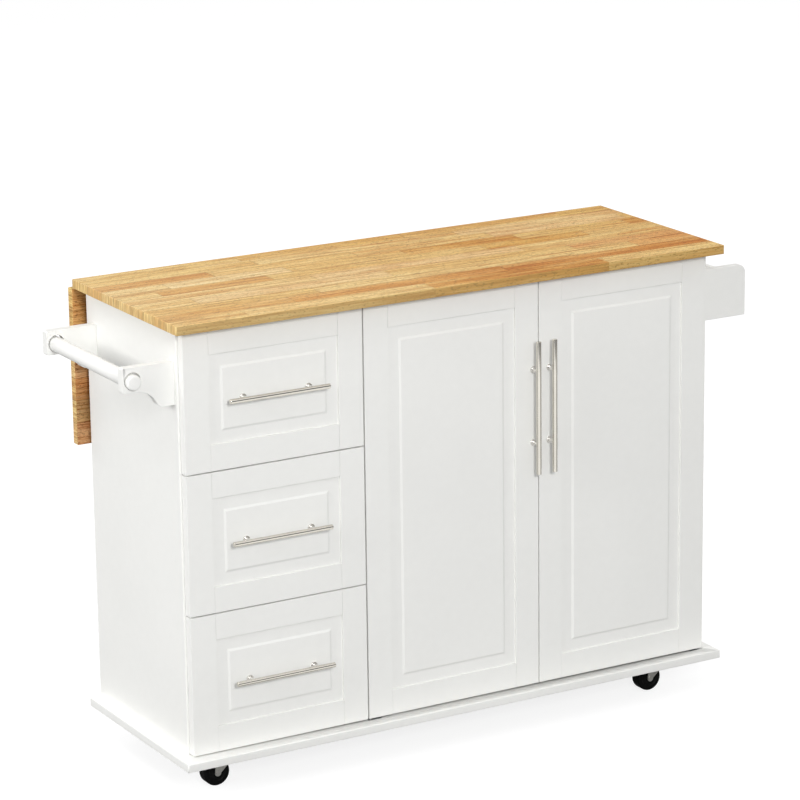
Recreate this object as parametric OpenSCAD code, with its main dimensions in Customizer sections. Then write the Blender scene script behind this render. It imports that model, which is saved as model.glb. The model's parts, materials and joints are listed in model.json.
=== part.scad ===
// Drop leaf kitchen island on four casters. A cabinet with three drawers and a two-door
// cupboard carries a wooden worktop. A wooden leaf hangs behind it and swings up level
// with it on three hinges, held by two folding stays. A towel rail is on the left side
// and a spice rack is on the right side.
// X runs to the right, Y to the back and Z up. The floor is Z = 0.

/* [Worktop and leaf] */
// Height of the worktop's upper face above the floor
total_h = 918; // [880:1:960]
// Width of the worktop and of the leaf
top_w = 1200; // [1160:1:1300]
// Depth of the worktop
top_d = 442; // [430:1:480]
// Thickness of the worktop and of the leaf
top_t = 18; // [15:1:24]
// Radius of the worktop's and the leaf's eased edges
top_ease = 2; // [0.5:0.5:3]
// Radius of the worktop's and the leaf's corners
top_corner = 3; // [3:0.5:10]
// Depth of the leaf
leaf_d = 310; // [290:1:330]
// Gap between the worktop's back edge and the leaf
leaf_gap = 1.5; // [1:0.5:2]

/* [Carcass] */
// Worktop's front edge to the faces of the doors
front_overhang = 30; // [20:1:40]
// Worktop's back edge to the back panel's outer face
back_overhang = 14; // [14:0.5:20]
// Worktop's left end to the left side panel's outer face
left_overhang = 22; // [15:1:30]
// Worktop's right end to the right side panel's outer face
right_overhang = 10; // [8:1:30]
// Thickness of the side panels
side_t = 18; // [15:1:20]
// Thickness of the divider between the drawers and the cupboard
divider_t = 16; // [14:1:20]
// Thickness of the back panel
back_t = 9; // [6:1:12]
// Thickness of the rails under the worktop
top_rail_t = 16; // [12:1:18]
// Depth of the rails under the worktop
top_rail_d = 80; // [60:1:100]
// Thickness of the cupboard's shelf
shelf_t = 16; // [12:1:20]
// Height of the shelf's upper face above the base board
shelf_z = 420; // [300:1:500]
// Shelf's front edge behind the carcass's front edge
shelf_setback = 22; // [10:1:40]
// Play of the shelf at its ends and its back
shelf_play = 1; // [0.5:0.5:3]
// Diameter of the shelf pins
shelf_pin_d = 5; // [4:0.5:6]
// Length of the shelf pins, half of it in the panel
shelf_pin_l = 18; // [14:1:22]
// Shelf pins' distance from the shelf's front and back edges
shelf_pin_inset = 40; // [25:1:60]

/* [Base board] */
// Thickness of the base board
base_t = 16; // [14:1:20]
// Base board's ends beyond the worktop's ends
base_out = 2; // [0:1:6]
// Radius of the base board's eased edges
base_ease = 1.5; // [1:0.5:3]
// Radius of the base board's corners
base_corner = 4; // [3:0.5:10]

/* [Fronts] */
// Thickness of the doors and the drawer fronts
front_t = 18; // [17:1:20]
// Width of the upright members of each framed front
stile_w = 52; // [48:1:60]
// Height of the cross members of each framed front
rail_w = 50; // [44:1:60]
// Width of the drawer fronts
drawer_front_w = 373.5; // [360:0.5:390]
// Left side panel's outer face to the drawer fronts' edge
left_reveal = 4; // [2:0.5:6]
// Right side panel's outer face to the door's edge
right_reveal = 17.5; // [14:0.5:17.5]
// Gap between the drawer fronts and the left door
column_gap = 3; // [3:0.5:4]
// Gap between the two doors
door_gap = 2; // [1.5:0.5:4]
// Gap between drawer fronts
drawer_gap = 2.5; // [2:0.5:4]
// Gap above and below the fronts
edge_gap = 2; // [1.5:0.5:3]
// Gap between the fronts and the carcass's front edge
front_gap = 1; // [1:0.5:3]
// Width of the joint line between stiles and rails
joint_line = 0.2; // [0.1:0.1:0.4]

/* [Raised panels] */
// Thickness of the panel's tongue
tongue_t = 6; // [4:0.5:7]
// Depth of the tongue in the frame's groove
tongue_d = 8; // [5:0.5:12]
// Play of the tongue in its groove
tongue_play = 0.2; // [0.1:0.1:0.5]
// Panel's back face ahead of the frame's back face
panel_back = 4; // [2:0.5:5]
// Depth of the field's outer edge below the frame's face
field_low = 3.5; // [3:0.5:6]
// Depth of the field's inner edge below the frame's face
field_high = 3; // [2.5:0.5:4]
// Width of the sloping field around the raised centre
field_w = 24; // [18:1:30]
// Depth of the raised centre below the frame's face
centre_low = 1; // [0.5:0.5:2]
// Width of the small bevel at the raised centre's edge
centre_bevel = 4.5; // [1.5:0.5:6]

/* [Handles] */
// Diameter of the handle bars
bar_d = 10; // [8:0.5:12]
// Length of the drawers' bars
drawer_bar_l = 208; // [190:1:240]
// Length of the doors' bars
door_bar_l = 265; // [220:1:320]
// Distance between the two posts of a drawer's bar
drawer_post_pitch = 137; // [128:1:160]
// Distance between the two posts of a door's bar
door_post_pitch = 145; // [128:1:160]
// Diameter of the posts
post_d = 8; // [6:0.5:9]
// Diameter of the posts' feet
foot_d = 14; // [12:0.5:18]
// Height of the posts' feet
foot_h = 3; // [2:0.5:4]
// Height of the drawers' bars above the fronts' faces
drawer_standoff = 18; // [16:0.5:32]
// Height of the doors' bars above the fronts' faces
door_standoff = 20; // [16:0.5:36]
// Drawers' bars right of the middle of their fronts
drawer_bar_right = 2.5; // [0:0.5:5]
// Drawers' bars below the middle of their fronts
drawer_bar_drop = 3.5; // [0:0.5:10]
// Middle of the doors' bars below the doors' upper edge
door_bar_drop = 250.5; // [200:0.5:300]
// Left door's bar from the left door's meeting edge
left_bar_inset = 11; // [9:0.5:30]
// Right door's bar from the right door's meeting edge
right_bar_inset = 23.5; // [9:0.5:30]

/* [Drawer boxes] */
// Thickness of the drawer box boards
box_t = 12; // [10:1:15]
// Height of the drawer boxes
box_h = 190; // [150:1:200]
// Gap between the drawer boxes and the back panel
box_gap = 19; // [12:1:30]
// Drawer front's lower edge to the box's lower edge
box_rise = 22; // [16:1:30]
// Thickness of the drawer bottoms
bottom_t = 6; // [4:1:8]
// Depth of the bottom's groove in the box boards
bottom_groove = 5; // [4:0.5:6]
// Bottom's height above the box's lower edge
bottom_rise = 10; // [8:1:14]
// Play of the bottom in its groove
bottom_play = 0.2; // [0.1:0.1:0.5]

/* [Drawer runners] */
// Space taken by a runner between the box and the panel
runner_w = 12.7; // [12.7:0.1:14]
// Height of the runner channels
runner_h = 45; // [40:1:50]
// Runners' front ends behind the carcass's front edge
runner_front = 1; // [0.5:0.5:4]
// Sheet thickness of the runner channels
runner_t = 1.2; // [1:0.1:1.5]
// Height of the channel's lips
lip_h = 6; // [4:0.5:8]
// Thickness of the slider's head
slider_head_t = 3; // [2:0.5:4]
// Running gap between slider and channel
runner_gap = 0.3; // [0.2:0.1:0.4]
// Middle of the runner above the box's lower edge
runner_rise = 70; // [50:1:90]

/* [Door pivots and catches] */
// Pivot axis from the door's hinged edge
pivot_in = 4; // [4:0.5:5]
// Pivot axis behind the door's face
pivot_back = 5; // [4.5:0.5:6]
// Diameter of the pivot pins
pivot_d = 5; // [4:0.5:5]
// Radial clearance of the pivot pins
pivot_clear = 0.05; // [0.03:0.01:0.08]
// Length of the pivot plates
pivot_plate_l = 40; // [30:1:46]
// Width of the pivot plates
pivot_plate_w = 12; // [11:0.5:13]
// Thickness of the pivot plates
pivot_plate_t = 2.5; // [2:0.5:3]
// Wood left between the pivot plates and the door's edges
plate_edge = 1.5; // [1:0.5:1.5]
// Length of the socket plates
socket_l = 30; // [24:1:40]
// Width of the socket plates
socket_w = 16; // [14:1:18]
// Thickness of the socket plates
socket_t = 3; // [2:0.5:4]
// Reach of the pins beyond the socket plates
pin_reach = 2; // [1:0.5:3]
// Length of the magnetic catches
catch_l = 46; // [36:1:56]
// Height of the magnetic catches
catch_h = 14; // [10:1:16]
// Depth of the magnetic catches
catch_d = 15; // [12:1:20]
// Length of the catches' strike plates
strike_l = 38; // [30:1:46]
// Thickness of the catches' strike plates
strike_t = 0.6; // [0.4:0.1:0.7]
// Catches from the doors' meeting edges
catch_inset = 30; // [10:1:60]

/* [Leaf hinges] */
// Number of leaf hinges
hinge_count = 3; // [2:1:4]
// End hinges from the leaf's ends
hinge_inset = 150; // [120:1:180]
// Length of each hinge
hinge_l = 60; // [50:1:80]
// Width of each hinge leaf
hinge_w = 34; // [28:1:40]
// Thickness of each hinge leaf
hinge_t = 2; // [1.5:0.5:2]
// Diameter of the hinge knuckles
knuckle_d = 6; // [6:0.5:7]
// Diameter of the hinge pins
hinge_pin_d = 3; // [2.5:0.5:3.5]
// Radial clearance of the hinge pins
hinge_clear = 0.05; // [0.03:0.01:0.08]
// End gap between knuckles
knuckle_gap = 0.3; // [0.2:0.1:0.5]

/* [Leaf stays] */
// Length of the stays between pivot and tip
stay_l = 190; // [170:1:200]
// Width of the stay bars
stay_w = 10; // [8:0.5:10]
// Thickness of the stay bars
stay_t = 4; // [3:0.5:5]
// Stays from the worktop's ends
stay_inset = 300; // [260:1:400]
// Stays' turn while the leaf turns a quarter
stay_turn = 120; // [120:1:120]
// Diameter of the stay pivots
stay_pin_d = 5; // [4:0.5:6]
// Radial clearance of the stay pivots
stay_clear = 0.05; // [0.03:0.01:0.08]
// Stay pivot behind the back panel's outer face
stay_off = 7.5; // [7.5:0.5:8]
// Thickness of the stay brackets
stay_plate_t = 2; // [1.5:0.5:2]
// Length of the stay brackets
stay_plate_l = 44; // [36:1:60]
// Thickness of the stop plates on the leaf
stop_t = 2; // [1.6:0.2:2.4]
// Gap between a raised stay's tip and its stop plate
stop_gap = 2; // [1.5:0.5:3]

/* [Towel rail] */
// Reach of the brackets from the side panel
towel_reach = 104; // [102:1:120]
// Height of the brackets at the side panel
towel_h = 82; // [76:1:95]
// Height of the brackets' outer ends
towel_end_h = 47; // [46:1:56]
// Thickness of the brackets
towel_t = 18; // [15:1:22]
// Brackets' upper edge below the worktop
towel_drop = 62; // [40:1:80]
// Front bracket behind the carcass's front edge
towel_setback = 10; // [5:1:40]
// Back bracket ahead of the carcass's back
towel_tail = 24.5; // [10:0.5:50]
// Flat length of the lower edge at the outer end
towel_flat = 27; // [24:1:30]
// Flat length of the lower edge at the side panel
towel_root = 22; // [18:1:26]
// Radius of the hollow curve beside the outer flat
towel_hollow_r = 45; // [40:1:48]
// Radius of the brackets' outer corners
towel_corner = 3; // [1:0.5:4]
// Diameter of the rod
rod_d = 29; // [24:1:30]
// Rod's axis from the side panel
rod_reach = 83.5; // [76:0.5:84]
// Rod's axis below the brackets' upper edge
rod_drop = 25.5; // [24:0.5:26]
// Width of the gap round the rod at its widest
rod_play = 4; // [1:0.5:5]
// Rod's ends beyond the brackets
rod_out = 9; // [5:1:14]
// Radius of the rod's eased ends
rod_ease = 2.5; // [1:0.5:4]

/* [Spice rack] */
// Reach of the rack from the side panel
rack_reach = 103; // [90:1:130]
// Height of the rack's ends
rack_h = 104; // [90:1:130]
// Front end behind the carcass's front edge
rack_setback = 10; // [0:1:30]
// Back end ahead of the carcass's back
rack_tail = 6.5; // [0.5:0.5:30]
// Thickness of the ends
rack_end_t = 15; // [12:1:18]
// Radius of the ends' upper outer corner
rack_corner = 17; // [8:1:30]
// Ends' upper edge below the worktop
rack_drop = 43; // [30:1:60]
// Thickness of the rack's shelf
rack_shelf_t = 12; // [9:1:15]
// Rack shelf above the ends' lower edge
rack_shelf_rise = 10; // [0:1:20]
// Thickness of the rail that keeps jars in
rack_rail_t = 10; // [8:1:14]
// Height of the rail that keeps jars in
rack_rail_h = 30; // [20:1:36]
// Rail's lower edge above the rack's shelf
rack_rail_rise = 28; // [15:1:34]
// Shelf and rail behind the ends' outer edges
rack_inset = 3; // [1:1:8]

/* [Casters] */
// Height of the base board above the floor
caster_h = 62; // [61:1:72]
// Diameter of the wheels
wheel_d = 53; // [48:1:54]
// Width of the wheels
wheel_w = 25; // [18:1:26]
// Radius of the wheels' tread corners
tread_r = 3; // [2:0.5:6]
// Axle's distance behind the swivel axis
trail = 22; // [18:1:24]
// Swivel axis from the base board's ends
caster_inset_x = 111; // [80:1:130]
// Swivel axis from the base board's front and back edges
caster_inset_y = 71; // [60:1:85]
// Length of the mounting plates
plate_l = 62; // [56:1:70]
// Width of the mounting plates
plate_w = 48; // [44:1:56]
// Thickness of the mounting plates
plate_t = 2; // [1.5:0.5:3]
// Diameter of the swivel races
race_d = 38; // [34:1:42]
// Height of the swivel races
race_h = 3; // [2.5:0.5:5]
// Gap under the swivel races
race_gap = 0.3; // [0.2:0.1:0.5]
// Sheet thickness of the forks
fork_t = 1.5; // [1.5:0.5:2.5]
// Gap between wheel and fork
fork_gap = 2.4; // [1:0.1:3]
// Radius of the fork's lower ends
fork_end_r = 6.5; // [5:0.5:10]
// Diameter of the axles
axle_d = 7; // [5:0.5:8]
// Diameter of the kingpins
kingpin_d = 8; // [6:0.5:9]
// Radial clearance of axles and kingpins
caster_clear = 0.05; // [0.03:0.01:0.08]
// Diameter of the screw heads under the plates
screw_d = 8; // [6:0.5:9]

/* [Hidden] */

$fn = 64;
// Small overrun of cutting shapes past the faces they cut
cut = 1;
// Small play round plates let into wood
inlay_play = 0.1;

// Cabinet planes
top_low = total_h - top_t;
top_front = -top_d / 2;
top_back = top_d / 2;
face_y = top_front + front_overhang;
fronts_back = face_y + front_t;
carcass_front = fronts_back + front_gap;
body_back = top_back - back_overhang;
panel_front = body_back - back_t;
left_out = -top_w / 2 + left_overhang;
right_out = top_w / 2 - right_overhang;
left_in = left_out + side_t;
right_in = right_out - side_t;
base_top = caster_h + base_t;
base_w = top_w + 2 * base_out;
base_d = body_back - top_front;
body_h = top_low - base_top;

// Fronts
fronts_low = base_top + edge_gap;
fronts_high = top_low - edge_gap;
fronts_left = left_out + left_reveal;
fronts_right = right_out - right_reveal;
drawer_right = fronts_left + drawer_front_w;
doors_left = drawer_right + column_gap;
door_w = (fronts_right - doors_left - door_gap) / 2;
door_h = fronts_high - fronts_low;
drawer_h = (door_h - 2 * drawer_gap) / 3;
divider_x = drawer_right + column_gap / 2 - divider_t / 2;
cupboard_left = divider_x + divider_t;

// Leaf hinge line, in the middle of the gap between worktop and leaf
leaf_y = top_back + leaf_gap;
leaf_axis_y = top_back + leaf_gap / 2;
leaf_axis_z = top_low - leaf_gap / 2;
leaf_high = top_low - leaf_gap;

// Stays, whose tips come up under the raised leaf
stay_rise = -cos(stay_turn) * stay_l;
stay_y = body_back + stay_off;
stay_z = top_low - stay_w / 2 - runner_gap - stay_rise;
stay_tip_y = stay_y + sin(stay_turn) * stay_l;
stay_xs = [-top_w / 2 + stay_inset, top_w / 2 - stay_inset];

// Drawer boxes
box_left = left_in + runner_w;
box_right = divider_x - runner_w;
box_w = box_right - box_left;
box_back = panel_front - box_gap;
box_l = box_back - fronts_back;
runner_y = carcass_front + runner_front;
runner_l = box_back - runner_y;

// Casters
wheel_z = wheel_d / 2;
caster_xs = [-base_w / 2 + caster_inset_x, base_w / 2 - caster_inset_x];
caster_ys = [top_front + caster_inset_y, body_back - caster_inset_y];

// The frame's origin is the middle of the whole object's footprint
low_x = left_out - towel_reach;
high_x = right_out + rack_reach;
low_y = min(top_front, face_y - max(door_standoff, drawer_standoff) - bar_d / 2);
high_y = leaf_y + top_t;
origin_x = -(low_x + high_x) / 2;
origin_y = -(low_y + high_y) / 2;

white = "#f2f2ee";
inner_white = "#e9e8e2";
wood = "#d8a35c";
steel = "#b9b5ab";
zinc = "#c4c5c6";
black = "#1c1b1a";

function drawer_z(row) = fronts_low + row * (drawer_h + drawer_gap);
function box_z(row) = drawer_z(row) + box_rise;
function hinge_x(i) = -top_w / 2 + hinge_inset
    + i * (top_w - 2 * hinge_inset) / (hinge_count - 1);

// ---- shared shapes ----

module placed() translate([origin_x, origin_y, 0]) children();

// Extrudes a YZ outline along +X
module along_x(l) rotate([90, 0, 90]) linear_extrude(l) children();

// Extrudes an XZ outline along +Y
module along_y(l) translate([0, l, 0]) rotate([90, 0, 0]) linear_extrude(l) children();

module rounded_rect(w, h, r) {
    translate([r, 0]) square([w - 2 * r, h]);
    translate([0, r]) square([w, h - 2 * r]);
    for (x = [r, w - r], y = [r, h - r]) translate([x, y]) circle(r);
}

// A board of thickness h whose edges are eased with radius r and whose corners are round
module eased_board(w, d, h, r, corner) intersection() {
    linear_extrude(h) rounded_rect(w, d, corner);
    along_x(w) rounded_rect(d, h, r);
    along_y(d) rounded_rect(w, h, r);
}

// A rod along +Z with eased ends
module eased_rod(d, l, r) rotate_extrude() {
    square([d / 2 - r, l]);
    translate([0, r]) square([d / 2, l - 2 * r]);
    for (z = [r, l - r]) translate([d / 2 - r, z]) circle(r);
}

// ---- framed fronts, with their lower left corner at the origin and their face at Y = 0 ----

module front_groove(w, h) {
    reach = tongue_d + tongue_play;
    translate([stile_w - reach, front_t - panel_back - tongue_t - tongue_play, rail_w - reach])
        cube([w - 2 * stile_w + 2 * reach, tongue_t + 2 * tongue_play,
            h - 2 * rail_w + 2 * reach]);
}

module front_frame(w, h) difference() {
    union() {
        for (x = [0, w - stile_w]) translate([x, 0, 0]) cube([stile_w, front_t, h]);
        for (z = [0, h - rail_w]) translate([stile_w + joint_line, 0, z])
            cube([w - 2 * stile_w - 2 * joint_line, front_t, rail_w]);
    }
    front_groove(w, h);
}

// Section of the raised panel across an opening of length l: the sloping field on each
// side, the small bevel and the flat centre
module panel_section(l) {
    tongue_front = front_t - panel_back - tongue_t;
    polygon([[0, tongue_front + tongue_t / 2], [0, field_low], [field_w, field_high],
        [field_w + centre_bevel, centre_low], [l - field_w - centre_bevel, centre_low],
        [l - field_w, field_high], [l, field_low], [l, tongue_front + tongue_t / 2]]);
}

module raised_panel(w, h) {
    open_w = w - 2 * stile_w;
    open_h = h - 2 * rail_w;
    translate([stile_w, 0, rail_w]) {
        intersection() {
            linear_extrude(open_h) panel_section(open_w);
            rotate([0, -90, 0]) translate([0, 0, -open_w]) linear_extrude(open_w)
                panel_section(open_h);
        }
        translate([-tongue_d, front_t - panel_back - tongue_t, -tongue_d])
            cube([open_w + 2 * tongue_d, tongue_t, open_h + 2 * tongue_d]);
    }
}

// A bar handle along X, centred on the origin, with its posts towards +Y
module bar_handle(l, pitch, standoff) {
    rotate([0, 90, 0]) cylinder(d = bar_d, h = l, center = true);
    for (x = [-pitch / 2, pitch / 2]) translate([x, 0, 0]) rotate([-90, 0, 0]) {
        cylinder(d = post_d, h = standoff);
        translate([0, 0, standoff - foot_h]) cylinder(d = foot_d, h = foot_h);
    }
}

// ---- worktop and leaf ----

// Room for one leaf hinge in the worktop's underside, round the hinge line
module hinge_room() {
    l = hinge_l + 2 * inlay_play;
    translate([-l / 2, -hinge_w - inlay_play, -cut])
        cube([l, hinge_w + 2 * cut, leaf_gap / 2 + hinge_t + cut]);
    rotate([0, 90, 0])
        cylinder(r = knuckle_d / 2 + 2 * runner_gap, h = l + 2 * knuckle_gap, center = true);
}

// Room for a pivot socket plate and its pin, cut upwards from Z = 0
module socket_room(side) {
    socket_plate(side, inlay_play);
    translate([0, 0, -cut])
        cylinder(r = pivot_d / 2 + 2 * runner_gap,
            h = cut + socket_t + pin_reach + 2 * runner_gap);
}

module worktop() color(wood) placed() difference() {
    translate([-top_w / 2, top_front, top_low])
        eased_board(top_w, top_d, top_t, top_ease, top_corner);
    for (i = [0:hinge_count - 1])
        translate([hinge_x(i), leaf_axis_y, leaf_axis_z]) hinge_room();
    for (side = [-1, 1]) translate([pivot_x(side), face_y + pivot_back, top_low])
        socket_room(side);
}

module drop_leaf() color(wood) placed() difference() {
    translate([-top_w / 2, leaf_y, leaf_high - leaf_d]) mirror([0, 1, -1])
        eased_board(top_w, leaf_d, top_t, top_ease, top_corner);
    for (i = [0:hinge_count - 1])
        translate([hinge_x(i), leaf_axis_y, leaf_axis_z]) mirror([0, 1, -1]) hinge_room();
}

// One hinge leaf beside the hinge line, which lies along X, with the knuckles named by
// their middles and their lengths
module hinge_leaf(knuckles) {
    root = knuckle_d / 2 + runner_gap;
    translate([-hinge_l / 2, -hinge_w, leaf_gap / 2])
        cube([hinge_l, hinge_w - root, hinge_t]);
    for (k = knuckles) {
        translate([k[0] - k[1] / 2, -root - inlay_play, leaf_gap / 2])
            cube([k[1], root + inlay_play, hinge_t]);
        translate([k[0], 0, 0]) rotate([0, 90, 0])
            cylinder(d = knuckle_d, h = k[1], center = true);
    }
}

module leaf_hinge_fixed_leaves() color(zinc) placed() {
    third = hinge_l / 3;
    end_l = third - knuckle_gap;
    for (i = [0:hinge_count - 1])
        translate([hinge_x(i), leaf_axis_y, leaf_axis_z]) {
            hinge_leaf([[-third - knuckle_gap / 2, end_l], [third + knuckle_gap / 2, end_l]]);
            rotate([0, 90, 0]) cylinder(d = hinge_pin_d, h = hinge_l, center = true);
        }
}

module leaf_hinge_moving_leaves() color(zinc) placed() {
    for (i = [0:hinge_count - 1])
        translate([hinge_x(i), leaf_axis_y, leaf_axis_z]) difference() {
            mirror([0, 1, -1]) hinge_leaf([[0, hinge_l / 3 - knuckle_gap]]);
            rotate([0, 90, 0])
                cylinder(r = hinge_pin_d / 2 + hinge_clear, h = hinge_l, center = true);
        }
}

// ---- leaf stays ----

module stay_bracket() {
    ear_x = stay_t / 2 + runner_gap;
    ear_y = stay_off - stay_plate_t + stay_w / 2;
    translate([0, -stay_off, 0]) {
        translate([-ear_x - 2 * stay_plate_t - stay_w, 0, -stay_plate_l / 2])
            cube([2 * (ear_x + 2 * stay_plate_t + stay_w), stay_plate_t, stay_plate_l]);
        for (x = [-ear_x - stay_plate_t, ear_x])
            translate([x, stay_plate_t / 2, -stay_w / 2])
                cube([stay_plate_t, ear_y + stay_plate_t / 2, stay_w]);
    }
    rotate([0, 90, 0])
        cylinder(d = stay_pin_d, h = 2 * (ear_x + stay_plate_t) + stay_plate_t, center = true);
}

module stay_brackets() color(zinc) placed()
    for (x = stay_xs) translate([x, stay_y, stay_z]) stay_bracket();

// A stay hangs straight down from its pivot
module stay(x) color(zinc) placed() translate([x, stay_y, stay_z]) rotate([0, 90, 0])
    difference() {
        union() {
            for (d = [0, stay_l]) translate([d, 0, 0])
                cylinder(d = stay_w, h = stay_t, center = true);
            translate([0, -stay_w / 2, -stay_t / 2]) cube([stay_l, stay_w, stay_t]);
        }
        cylinder(r = stay_pin_d / 2 + stay_clear, h = stay_t + cut, center = true);
    }

module left_stay() stay(stay_xs[0]);

module right_stay() stay(stay_xs[1]);

// Each stop lies just beyond its stay's tip when the leaf is up
module stay_stop_plates() color(zinc) placed() for (x = stay_xs) {
    stop_at = stay_tip_y - leaf_axis_y + stay_w / 2 + stop_gap;
    stop_w = 2 * stay_w;
    translate([x - stop_w / 2, leaf_y - stop_t, leaf_axis_z - stop_at - stay_w])
        cube([stop_w, stop_t, stay_w]);
}

// ---- carcass ----

module base_board() color(white) placed() difference() {
    translate([-base_w / 2, top_front, caster_h])
        eased_board(base_w, base_d, base_t, base_ease, base_corner);
    for (side = [-1, 1]) translate([pivot_x(side), face_y + pivot_back, base_top])
        mirror([0, 0, 1]) socket_room(side);
}

module side_panel(x) translate([x, carcass_front, base_top])
    cube([side_t, body_back - carcass_front, body_h]);

module left_side_panel() color(white) placed() side_panel(left_out);

module right_side_panel() color(white) placed() difference() {
    side_panel(right_in);
    shelf_pin_holes();
}

module divider_panel() color(inner_white) placed() difference() {
    translate([divider_x, carcass_front, base_top])
        cube([divider_t, panel_front - carcass_front, body_h]);
    shelf_pin_holes();
}

module back_panel() color(inner_white) placed() translate([left_in, panel_front, base_top])
    cube([right_in - left_in, back_t, body_h]);

module top_rails() color(inner_white) placed()
    for (bay = [[left_in, divider_x], [cupboard_left, right_in]],
            y = [carcass_front, panel_front - top_rail_d])
        translate([bay[0], y, top_low - top_rail_t])
            cube([bay[1] - bay[0], top_rail_d, top_rail_t]);

// ---- cupboard shelf ----

shelf_front = carcass_front + shelf_setback;
shelf_back = panel_front - shelf_play;
shelf_low = base_top + shelf_z - shelf_t;

module cupboard_shelf() color(inner_white) placed()
    translate([cupboard_left + shelf_play, shelf_front, shelf_low])
        cube([right_in - cupboard_left - 2 * shelf_play, shelf_back - shelf_front, shelf_t]);

module at_shelf_pins() for (x = [cupboard_left, right_in],
        y = [shelf_front + shelf_pin_inset, shelf_back - shelf_pin_inset])
    translate([x, y, shelf_low - shelf_pin_d / 2]) rotate([0, 90, 0]) children();

module shelf_pins() color(zinc) placed()
    at_shelf_pins() cylinder(d = shelf_pin_d, h = shelf_pin_l, center = true);

module shelf_pin_holes()
    at_shelf_pins() cylinder(r = shelf_pin_d / 2 + inlay_play,
        h = shelf_pin_l + 2 * inlay_play, center = true);

// ---- drawers, rows counted from the bottom ----

module in_drawer_front(row) placed() translate([fronts_left, face_y, drawer_z(row)])
    children();

module drawer_frame(row) color(white) in_drawer_front(row)
    front_frame(drawer_front_w, drawer_h);

module drawer_panel(row) color(white) in_drawer_front(row)
    raised_panel(drawer_front_w, drawer_h);

module drawer_handle(row) color(steel) in_drawer_front(row)
    translate([drawer_front_w / 2 + drawer_bar_right, -drawer_standoff,
            drawer_h / 2 - drawer_bar_drop])
        bar_handle(drawer_bar_l, drawer_post_pitch, drawer_standoff + centre_low);

module drawer_bottom_board(row, play) {
    inset = box_t - bottom_groove - play;
    translate([box_left + inset, fronts_back + inset, box_z(row) + bottom_rise - play])
        cube([box_w - 2 * inset, box_l - 2 * inset, bottom_t + 2 * play]);
}

module drawer_box(row) color(inner_white) placed() difference() {
    translate([box_left, fronts_back, box_z(row)]) {
        for (x = [0, box_w - box_t]) translate([x, 0, 0]) cube([box_t, box_l, box_h]);
        for (y = [0, box_l - box_t]) translate([box_t + joint_line, y, 0])
            cube([box_w - 2 * box_t - 2 * joint_line, box_t, box_h]);
    }
    drawer_bottom_board(row, bottom_play);
}

module drawer_bottom(row) color(inner_white) placed() drawer_bottom_board(row, 0);

// The channel's section stands on its panel at X = 0 and opens towards the drawer
module channel_section() {
    depth = runner_w - runner_t - 2 * runner_gap;
    translate([0, -runner_h / 2]) square([runner_t, runner_h]);
    for (flip = [0, 1]) mirror([0, flip]) {
        translate([0, runner_h / 2 - runner_t]) square([depth, runner_t]);
        translate([depth - runner_t, runner_h / 2 - lip_h]) square([runner_t, lip_h]);
    }
}

// The slider's head runs inside the channel, and its neck reaches the drawer box
module slider_section() {
    head_h = runner_h - 2 * runner_t - 2 * runner_gap;
    head_end = runner_w - 2 * runner_t - 3 * runner_gap;
    neck_h = runner_h - 2 * lip_h - 2 * runner_gap;
    translate([head_end - slider_head_t, -head_h / 2]) square([slider_head_t, head_h]);
    translate([head_end - slider_head_t, -neck_h / 2])
        square([runner_w - head_end + slider_head_t, neck_h]);
}

module at_runners(row) translate([0, runner_y, box_z(row) + runner_rise]) {
    translate([left_in, 0, 0]) children();
    translate([divider_x, 0, 0]) mirror([1, 0, 0]) children();
}

module runner_channels() color(zinc) placed()
    for (row = [0:2]) at_runners(row) along_y(runner_l) channel_section();

module drawer_sliders(row) color(zinc) placed()
    at_runners(row) along_y(runner_l) slider_section();

module top_drawer_frame() drawer_frame(2);
module top_drawer_panel() drawer_panel(2);
module top_drawer_box() drawer_box(2);
module top_drawer_bottom() drawer_bottom(2);
module top_drawer_sliders() drawer_sliders(2);
module top_drawer_handle() drawer_handle(2);

module middle_drawer_frame() drawer_frame(1);
module middle_drawer_panel() drawer_panel(1);
module middle_drawer_box() drawer_box(1);
module middle_drawer_bottom() drawer_bottom(1);
module middle_drawer_sliders() drawer_sliders(1);
module middle_drawer_handle() drawer_handle(1);

module bottom_drawer_frame() drawer_frame(0);
module bottom_drawer_panel() drawer_panel(0);
module bottom_drawer_box() drawer_box(0);
module bottom_drawer_bottom() drawer_bottom(0);
module bottom_drawer_sliders() drawer_sliders(0);
module bottom_drawer_handle() drawer_handle(0);

// ---- doors: side -1 is the left door, hinged at the divider, and 1 is the right door ----

function door_left(side) = side < 0 ? doors_left : fronts_right - door_w;
function hinged_edge(side) = side < 0 ? doors_left : fronts_right;
function meeting_edge(side) = side < 0 ? doors_left + door_w : fronts_right - door_w;
function pivot_x(side) = hinged_edge(side) - side * pivot_in;

// A plate let into the door's end round the pivot axis, upwards from Z = 0
module pivot_plate(side, play) mirror([side > 0 ? 1 : 0, 0, 0])
    translate([plate_edge - pivot_in - play, plate_edge - pivot_back - play, -play])
        cube([pivot_plate_l + 2 * play, pivot_plate_w + 2 * play, pivot_plate_t + 2 * play]);

// A plate round the pivot axis let into the worktop or the base board
module socket_plate(side, play) mirror([side > 0 ? 1 : 0, 0, 0])
    translate([-socket_w / 2 - play, -socket_w / 2 - play, -play])
        cube([socket_l + 2 * play, socket_w + 2 * play, socket_t + play]);

// Both ends of a door's pivot axis, each with +Z pointing out of the door's end
module at_door_ends(side) {
    axis_y = face_y + pivot_back;
    translate([pivot_x(side), axis_y, fronts_high]) children();
    translate([pivot_x(side), axis_y, fronts_low]) mirror([0, 0, 1]) children();
}

module door_frame(side) color(white) placed() difference() {
    translate([door_left(side), face_y, fronts_low]) front_frame(door_w, door_h);
    at_door_ends(side) translate([0, 0, -pivot_plate_t]) pivot_plate(side, inlay_play);
}

module door_panel(side) color(white) placed()
    translate([door_left(side), face_y, fronts_low]) raised_panel(door_w, door_h);

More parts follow.
